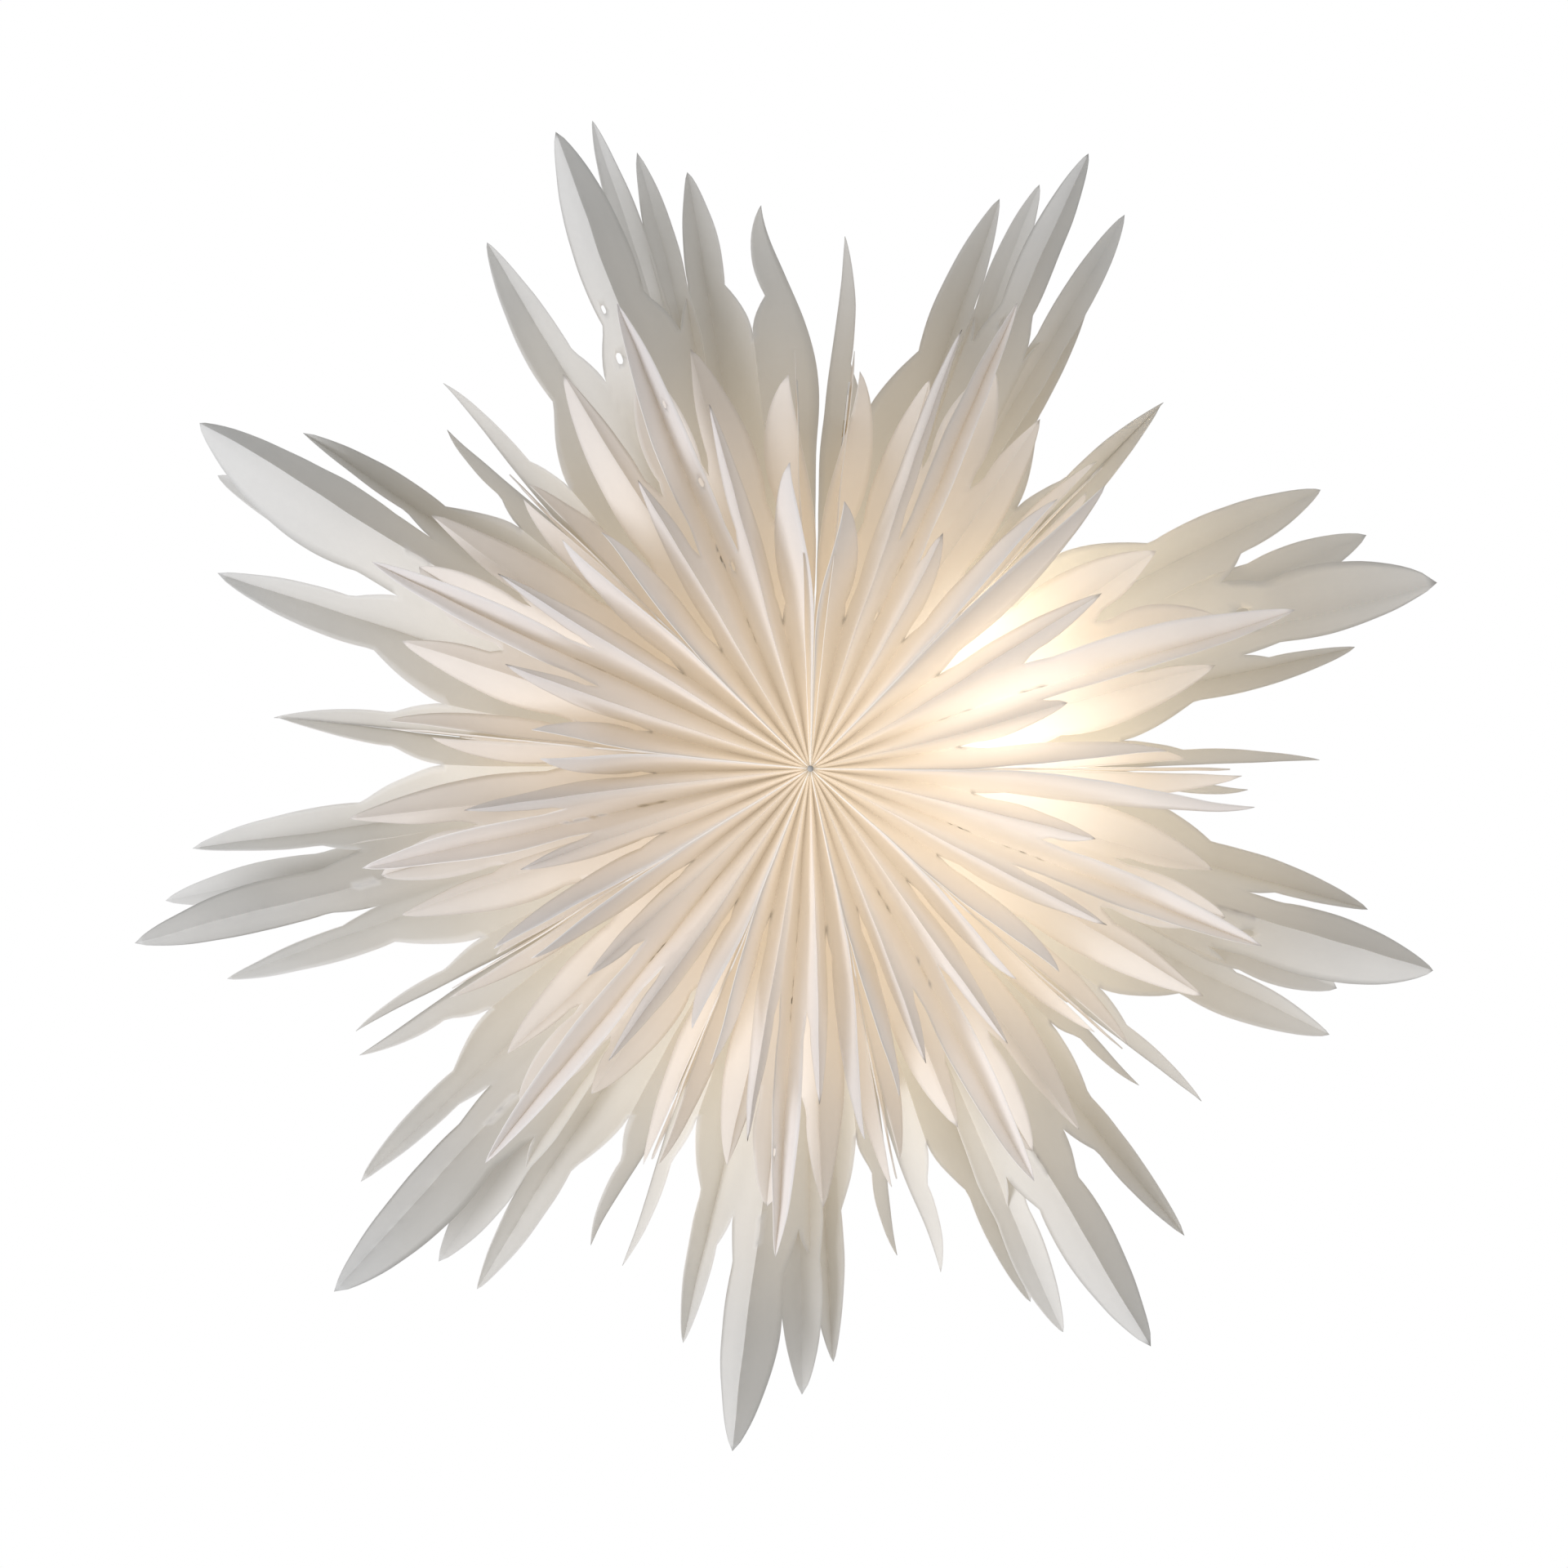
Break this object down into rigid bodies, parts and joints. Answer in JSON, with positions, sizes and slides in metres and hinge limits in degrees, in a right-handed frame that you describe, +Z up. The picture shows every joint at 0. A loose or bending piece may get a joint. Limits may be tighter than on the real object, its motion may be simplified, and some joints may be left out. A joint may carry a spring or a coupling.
{
  "type": "paper snowflake star lantern",
  "caption": "Hanging paper star lantern of deeply pleated white bags fanned round one axis, with stiff end cards, an eyelet and a small screw-base lamp inside.",
  "frame": {"origin": "centre of the hanging eyelet's hole, in the plane of the hung end wall", "axes": "+Z up, the star's front faces -Y, its fold axis runs along Y, +X to the right seen from the front"},
  "size_m": [0.768, 0.2716, 0.7782],
  "materials": {
    "panel_paper": "matt white tissue-grained paper, slightly translucent",
    "gusset_paper": "matt white creased paper, slightly translucent",
    "card": "matt white board",
    "dots": "white woven hook and loop",
    "brass": "polished",
    "thread": "twisted cotton thread",
    "holder": "white moulded plastic",
    "contact_brass": "pressed sheet",
    "globe": "frosted glass, lit warm white",
    "cap_metal": "nickel plate",
    "insulator": "black glass",
    "stem_glass": "clear glass",
    "filament": "lit filament"
  },
  "bodies": {
    "hung_end": {"bag_1_left_panel": "panel_paper", "first_end_card": "card", "hook_dots": "dots", "hanging_eyelet": "brass", "spine_thread": "thread"},
    "wall_1": {"bag_1_right_panel": "panel_paper", "bag_1_front_gusset": "gusset_paper", "bag_1_rear_gusset": "gusset_paper", "bag_2_left_panel": "panel_paper", "lampholder_barrel": "holder", "lampholder_cap": "holder", "shell_contact": "contact_brass", "centre_contact": "contact_brass"},
    "wall_2": {"bag_2_right_panel": "panel_paper", "bag_2_front_gusset": "gusset_paper", "bag_2_rear_gusset": "gusset_paper", "bag_3_left_panel": "panel_paper"},
    "wall_3": {"bag_3_right_panel": "panel_paper", "bag_3_front_gusset": "gusset_paper", "bag_3_rear_gusset": "gusset_paper", "bag_4_left_panel": "panel_paper"},
    "wall_4": {"bag_4_right_panel": "panel_paper", "bag_4_front_gusset": "gusset_paper", "bag_4_rear_gusset": "gusset_paper", "bag_5_left_panel": "panel_paper"},
    "wall_5": {"bag_5_right_panel": "panel_paper", "bag_5_front_gusset": "gusset_paper", "bag_5_rear_gusset": "gusset_paper", "bag_6_left_panel": "panel_paper"},
    "wall_6": {"bag_6_right_panel": "panel_paper", "bag_6_front_gusset": "gusset_paper", "bag_6_rear_gusset": "gusset_paper", "bag_7_left_panel": "panel_paper"},
    "wall_7": {"bag_7_right_panel": "panel_paper", "bag_7_front_gusset": "gusset_paper", "bag_7_rear_gusset": "gusset_paper", "bag_8_left_panel": "panel_paper"},
    "wall_8": {"bag_8_right_panel": "panel_paper", "bag_8_front_gusset": "gusset_paper", "bag_8_rear_gusset": "gusset_paper", "bag_9_left_panel": "panel_paper"},
    "loose_end": {"bag_9_right_panel": "panel_paper", "bag_9_front_gusset": "gusset_paper", "bag_9_rear_gusset": "gusset_paper", "last_end_card": "card", "loop_dots": "dots"},
    "holder_ring": {"lampholder_ring": "holder"},
    "bulb": {"bulb_globe": "globe", "bulb_screw_cap": "cap_metal", "bulb_insulator": "insulator", "bulb_contact": "cap_metal", "filament_stem": "stem_glass", "filaments": "filament"}
  },
  "joints": [
    {"name": "bag_1_fold", "type": "hinge", "parent": "hung_end", "child": "wall_1", "pos_m": [-0.02091, 0, -0.1989], "axis": [0, 1, 0], "range_deg": [-12, 0], "deforming": ["bag_1_front_gusset", "bag_1_rear_gusset"]},
    {"name": "bag_2_fold", "type": "hinge", "parent": "wall_1", "child": "wall_2", "pos_m": [-0.02091, 0, -0.1989], "axis": [0, 1, 0], "range_deg": [-16, 0], "deforming": ["bag_2_front_gusset", "bag_2_rear_gusset"]},
    {"name": "bag_3_fold", "type": "hinge", "parent": "wall_2", "child": "wall_3", "pos_m": [-0.02091, 0, -0.1989], "axis": [0, 1, 0], "range_deg": [-37, 0], "deforming": ["bag_3_front_gusset", "bag_3_rear_gusset"]},
    {"name": "bag_4_fold", "type": "hinge", "parent": "wall_3", "child": "wall_4", "pos_m": [-0.02091, 0, -0.1989], "axis": [0, 1, 0], "range_deg": [-31, 0], "deforming": ["bag_4_front_gusset", "bag_4_rear_gusset"]},
    {"name": "bag_5_fold", "type": "hinge", "parent": "wall_4", "child": "wall_5", "pos_m": [-0.02091, 0, -0.1989], "axis": [0, 1, 0], "range_deg": [-29, 0], "deforming": ["bag_5_front_gusset", "bag_5_rear_gusset"]},
    {"name": "bag_6_fold", "type": "hinge", "parent": "wall_5", "child": "wall_6", "pos_m": [-0.02091, 0, -0.1989], "axis": [0, 1, 0], "range_deg": [-31.5, 0], "deforming": ["bag_6_front_gusset", "bag_6_rear_gusset"]},
    {"name": "bag_7_fold", "type": "hinge", "parent": "wall_6", "child": "wall_7", "pos_m": [-0.02091, 0, -0.1989], "axis": [0, 1, 0], "range_deg": [-32, 0], "deforming": ["bag_7_front_gusset", "bag_7_rear_gusset"]},
    {"name": "bag_8_fold", "type": "hinge", "parent": "wall_7", "child": "wall_8", "pos_m": [-0.02091, 0, -0.1989], "axis": [0, 1, 0], "range_deg": [-34, 0], "deforming": ["bag_8_front_gusset", "bag_8_rear_gusset"]},
    {"name": "bag_9_fold", "type": "hinge", "parent": "wall_8", "child": "loose_end", "pos_m": [-0.02091, 0, -0.1989], "axis": [0, 1, 0], "range_deg": [-38.5, 0], "deforming": ["bag_9_front_gusset", "bag_9_rear_gusset"]},
    {"name": "bulb_turn", "type": "hinge", "parent": "wall_1", "child": "bulb", "pos_m": [0.06245, 0, -0.11258], "axis": [0.7193, 0, -0.6947], "continuous": true},
    {"name": "ring_turn", "type": "hinge", "parent": "wall_1", "child": "holder_ring", "pos_m": [0.06245, 0, -0.11258], "axis": [0.7193, 0, -0.6947], "continuous": true}
  ],
  "couplings": [
    {"joint": "bag_1_fold", "follows": "bag_3_fold", "ratio": 0.32432},
    {"joint": "bag_2_fold", "follows": "bag_3_fold", "ratio": 0.43243},
    {"joint": "bag_4_fold", "follows": "bag_3_fold", "ratio": 0.83783},
    {"joint": "bag_5_fold", "follows": "bag_3_fold", "ratio": 0.78378},
    {"joint": "bag_6_fold", "follows": "bag_3_fold", "ratio": 0.85135},
    {"joint": "bag_7_fold", "follows": "bag_3_fold", "ratio": 0.86486},
    {"joint": "bag_8_fold", "follows": "bag_3_fold", "ratio": 0.91891},
    {"joint": "bag_9_fold", "follows": "bag_3_fold", "ratio": 1.0405}
  ]
}
